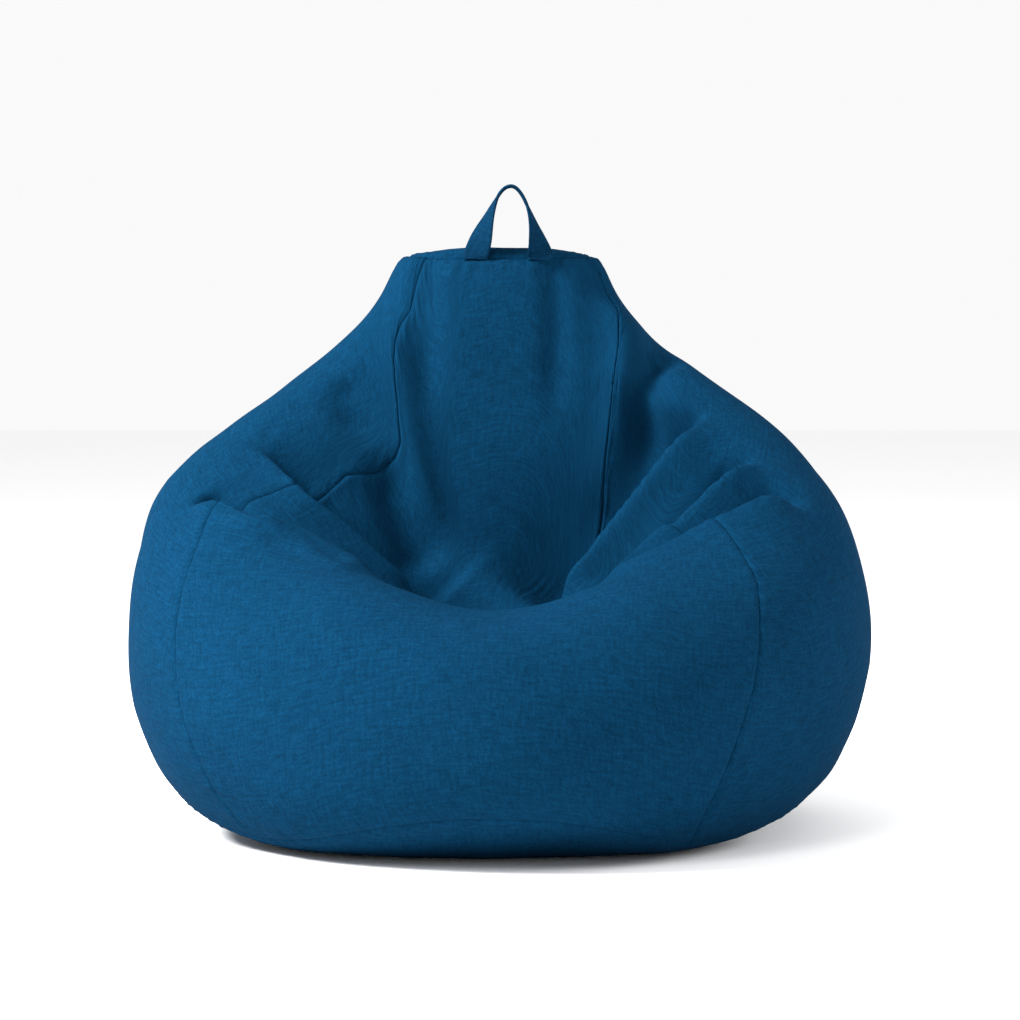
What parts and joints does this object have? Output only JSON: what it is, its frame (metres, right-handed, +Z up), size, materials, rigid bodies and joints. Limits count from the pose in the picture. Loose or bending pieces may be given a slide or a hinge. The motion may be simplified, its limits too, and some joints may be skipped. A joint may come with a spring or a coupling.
{
  "type": "bean bag chair",
  "caption": "Pear-shaped bean bag chair with a sewn cloth cover, sat-in seat hollow, leaning back, twisted carry loop on top, and a zip across the back over an inner bag.",
  "frame": {"origin": "on the floor, under the middle of the bag's outer box", "axes": "+X to the sitter's left as the chair is faced (the right of a front view), along its width; front and seat opening towards -Y; +Z up"},
  "size_m": [0.9, 0.8912, 0.7847],
  "materials": {
    "cover_cloth": "matt heathered plain weave of cotton and linen, deep blue",
    "zip_tape": "fine herringbone polyester tape, dyed to match the cover",
    "zip_coil": "coiled nylon monofilament, satin, dyed to match the cover",
    "zip_metal": "die-cast zinc, enamelled dark blue, worn at the edges",
    "liner_cloth": "thin non-woven or plain polyester lining, off-white",
    "liner_zip_tape": "white polyester tape",
    "liner_zip_coil": "coiled nylon monofilament, white",
    "liner_zip_metal": "die-cast zinc, enamelled white, pull left off",
    "beads": "loose expanded polystyrene beads, matt white"
  },
  "bodies": {
    "bag": {"left_panel": "cover_cloth", "front_panel": "cover_cloth", "right_panel": "cover_cloth", "back_lower_panel": "cover_cloth", "back_upper_panel": "cover_cloth", "base_panel": "cover_cloth", "top_panel": "cover_cloth", "liner_left_panel": "liner_cloth", "liner_front_panel": "liner_cloth", "liner_right_panel": "liner_cloth", "liner_back_lower_panel": "liner_cloth", "liner_back_upper_panel": "liner_cloth", "liner_base_panel": "liner_cloth", "liner_top_panel": "liner_cloth", "bead_filling": "beads", "zip_tape_upper": "zip_tape", "zip_coil_upper": "zip_coil", "zip_tape_lower": "zip_tape", "zip_coil_lower": "zip_coil", "zip_end_stop": "zip_metal", "zip_open_stops": "zip_metal", "liner_zip_tape_upper": "liner_zip_tape", "liner_zip_coil_upper": "liner_zip_coil", "liner_zip_tape_lower": "liner_zip_tape", "liner_zip_coil_lower": "liner_zip_coil", "liner_zip_end_stop": "liner_zip_metal", "liner_zip_open_stops": "liner_zip_metal"},
    "carry_loop": {"carry_loop": "cover_cloth"},
    "zip_slider": {"zip_slider": "zip_metal"},
    "zip_pull_tab": {"zip_pull_tab": "zip_metal"},
    "liner_zip_slider": {"liner_zip_slider": "liner_zip_metal"}
  },
  "joints": [
    {"name": "carry_loop_fold", "type": "hinge", "parent": "bag", "child": "carry_loop", "pos_m": [0.01, 0.10117, 0.69472], "axis": [1, 0, 0], "range_deg": [-40, 140], "stiffness_Nm_per_rad": 0.02},
    {"name": "zip_slider_run", "type": "hinge", "parent": "bag", "child": "zip_slider", "pos_m": [0, -0.004, 0.245], "axis": [0, 0, 1], "range_deg": [-85.1, 0]},
    {"name": "zip_pull_swing", "type": "hinge", "parent": "zip_slider", "child": "zip_pull_tab", "pos_m": [-0.30557, 0.32879, 0.245], "axis": [0, 0, 1], "range_deg": [0, 170]},
    {"name": "liner_zip_slider_run", "type": "hinge", "parent": "bag", "child": "liner_zip_slider", "pos_m": [0, -0.004, 0.214], "axis": [0, 0, 1], "range_deg": [-85.1, 0]}
  ]
}
